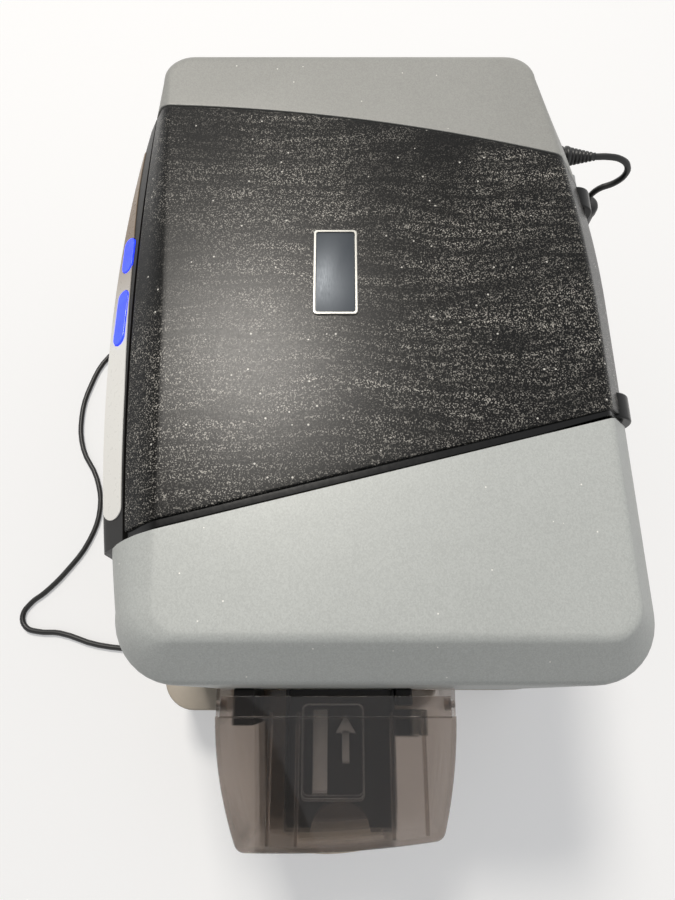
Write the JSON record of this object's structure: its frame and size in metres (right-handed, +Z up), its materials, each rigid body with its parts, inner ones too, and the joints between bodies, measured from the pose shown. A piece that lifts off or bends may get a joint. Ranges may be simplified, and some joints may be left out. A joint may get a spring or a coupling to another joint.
{
  "type": "id card printer",
  "caption": "Desktop id card printer: silver ends, black hinged top cover, lit front buttons, smoked card hopper with sprung tray, geared roller path, ribbon spools and print head.",
  "frame": {"origin": "on the desk under the middle of the printer's own box, without the power lead", "axes": "+X towards the card hopper, +Y towards the back where the cover is hinged, +Z up; the lit buttons face -Y"},
  "size_m": [0.435, 0.4333, 0.2499],
  "materials": {
    "silver_near": "satin metallic paint on moulded casing",
    "silver_far": "satin metallic paint on moulded casing",
    "black_shell": "fine textured black ABS",
    "dark_panel": "moulded dark grey ABS",
    "base_grey": "moulded warm grey ABS",
    "rubber": "moulded rubber",
    "steel": "zinc plated sheet steel",
    "aluminium": "extruded aluminium",
    "bronze": "sintered bronze",
    "gear_plastic": "acetal",
    "strip": "frosted acrylic light strip",
    "blue_lit": "lit blue lens",
    "circuit": "solder mask",
    "badge": "bare plate in a bright frame",
    "smoke": "smoked polycarbonate",
    "lip": "moulded beige ABS",
    "film": "dye film",
    "spool_dark": "wound dye film on a spool",
    "spool_yellow": "wound used film on a spool",
    "ceramic": "glazed ceramic",
    "tacky": "tacky cleaning sleeve",
    "cord_black": "PVC jacket",
    "lever": "moulded grey ABS"
  },
  "bodies": {
    "casing": {"base_tray": "base_grey", "feet": "rubber", "end_casing_near": "silver_near", "end_casing_far": "silver_far", "front_panel": "dark_panel", "rear_panel": "dark_panel", "hinge_pins": "steel", "light_strip": "strip", "button_board": "circuit", "chassis_front": "steel", "chassis_back": "steel", "card_guide": "dark_panel", "exit_ramp": "dark_panel", "shaft_bushes": "bronze", "idler_pins": "steel", "drive_motor": "dark_panel", "ribbon_cartridge": "dark_panel", "ribbon_film": "film", "ribbon_motor": "steel", "main_board": "circuit", "board_plate": "steel", "power_socket": "dark_panel", "usb_port": "steel", "fan_housing": "dark_panel", "hopper_shell": "smoke", "hopper_posts": "dark_panel", "output_lip": "lip", "casing_screws": "steel", "power_plug": "cord_black", "lead_loop": "cord_black", "ferrite": "cord_black", "lead_run": "cord_black", "power_adapter": "dark_panel"},
    "cover": {"top_cover": "black_shell", "badge_plate": "badge", "cover_frame": "steel", "head_bracket": "steel"},
    "head": {"head_carrier": "dark_panel", "print_head": "ceramic", "heat_sink": "aluminium"},
    "pause": {"pause_button": "blue_lit"},
    "power": {"power_button": "blue_lit"},
    "platen": {"platen_roller": "rubber", "platen_gear": "gear_plastic"},
    "feed": {"feed_roller": "rubber", "feed_gear": "gear_plastic"},
    "transport": {"transport_roller": "rubber", "transport_gear": "gear_plastic"},
    "cleaner": {"cleaning_roller": "tacky"},
    "near_idler": {"idler_gear_near": "gear_plastic"},
    "far_idler": {"idler_gear_far": "gear_plastic"},
    "pinion": {"motor_pinion": "bronze"},
    "supply": {"supply_spool": "spool_dark"},
    "takeup": {"takeup_spool": "spool_yellow", "takeup_gear": "gear_plastic"},
    "spool_pinion": {"ribbon_pinion": "bronze"},
    "fan": {"fan_rotor": "dark_panel"},
    "door": {"hopper_door": "smoke"},
    "tray": {"card_tray": "black_shell", "load_lever": "lever"}
  },
  "joints": [
    {"name": "cover_hinge", "type": "hinge", "parent": "casing", "child": "cover", "pos_m": [0, 0.114, 0.226], "axis": [-1, 0, 0], "range_deg": [0, 80]},
    {"name": "head_float", "type": "slide", "parent": "cover", "child": "head", "axis": [0, 0, 1], "range_m": [0, 0.002], "stiffness_N_per_m": 900, "springref_m": -0.004},
    {"name": "pause_press", "type": "slide", "parent": "casing", "child": "pause", "axis": [0, 0.6244, -0.7811], "range_m": [0, 0.0015], "stiffness_N_per_m": 300, "springref_m": -0.001},
    {"name": "power_press", "type": "slide", "parent": "casing", "child": "power", "axis": [0, 0.6244, -0.7811], "range_m": [0, 0.0015], "stiffness_N_per_m": 300, "springref_m": -0.001},
    {"name": "platen_spin", "type": "hinge", "parent": "casing", "child": "platen", "pos_m": [-0.01, 0, 0.109], "axis": [0, 1, 0], "continuous": true},
    {"name": "feed_spin", "type": "hinge", "parent": "casing", "child": "feed", "pos_m": [0.07, 0, 0.109], "axis": [0, 1, 0], "continuous": true},
    {"name": "transport_spin", "type": "hinge", "parent": "casing", "child": "transport", "pos_m": [-0.09, 0, 0.109], "axis": [0, 1, 0], "continuous": true},
    {"name": "near_idler_spin", "type": "hinge", "parent": "casing", "child": "near_idler", "pos_m": [0.032, 0, 0.109], "axis": [0, 1, 0], "continuous": true},
    {"name": "far_idler_spin", "type": "hinge", "parent": "casing", "child": "far_idler", "pos_m": [-0.052, 0, 0.109], "axis": [0, 1, 0], "continuous": true},
    {"name": "pinion_spin", "type": "hinge", "parent": "casing", "child": "pinion", "pos_m": [-0.052, 0, 0.075], "axis": [0, 1, 0], "continuous": true},
    {"name": "cleaner_spin", "type": "hinge", "parent": "casing", "child": "cleaner", "pos_m": [0.097, 0, 0.1264], "axis": [0, 1, 0], "continuous": true},
    {"name": "supply_spin", "type": "hinge", "parent": "casing", "child": "supply", "pos_m": [-0.048, 0, 0.165], "axis": [0, 1, 0], "continuous": true},
    {"name": "takeup_spin", "type": "hinge", "parent": "casing", "child": "takeup", "pos_m": [0.028, 0, 0.165], "axis": [0, 1, 0], "continuous": true},
    {"name": "spool_pinion_spin", "type": "hinge", "parent": "casing", "child": "spool_pinion", "pos_m": [0.05, 0, 0.165], "axis": [0, 1, 0], "continuous": true},
    {"name": "fan_spin", "type": "hinge", "parent": "casing", "child": "fan", "pos_m": [0.04, 0, 0.15], "axis": [0, 1, 0], "continuous": true},
    {"name": "door_hinge", "type": "hinge", "parent": "casing", "child": "door", "pos_m": [0.136, 0, 0.1345], "axis": [0, -1, 0], "range_deg": [0, 88]},
    {"name": "tray_lift", "type": "slide", "parent": "casing", "child": "tray", "axis": [0, 0, -1], "range_m": [0, 0.016], "stiffness_N_per_m": 60, "springref_m": -0.02}
  ],
  "couplings": [
    {"joint": "feed_spin", "follows": "platen_spin", "ratio": 1.3333},
    {"joint": "transport_spin", "follows": "platen_spin", "ratio": 1.3333},
    {"joint": "near_idler_spin", "follows": "platen_spin", "ratio": -0.61538},
    {"joint": "far_idler_spin", "follows": "platen_spin", "ratio": -0.61538},
    {"joint": "pinion_spin", "follows": "platen_spin", "ratio": 2},
    {"joint": "spool_pinion_spin", "follows": "takeup_spin", "ratio": -2.6667}
  ]
}
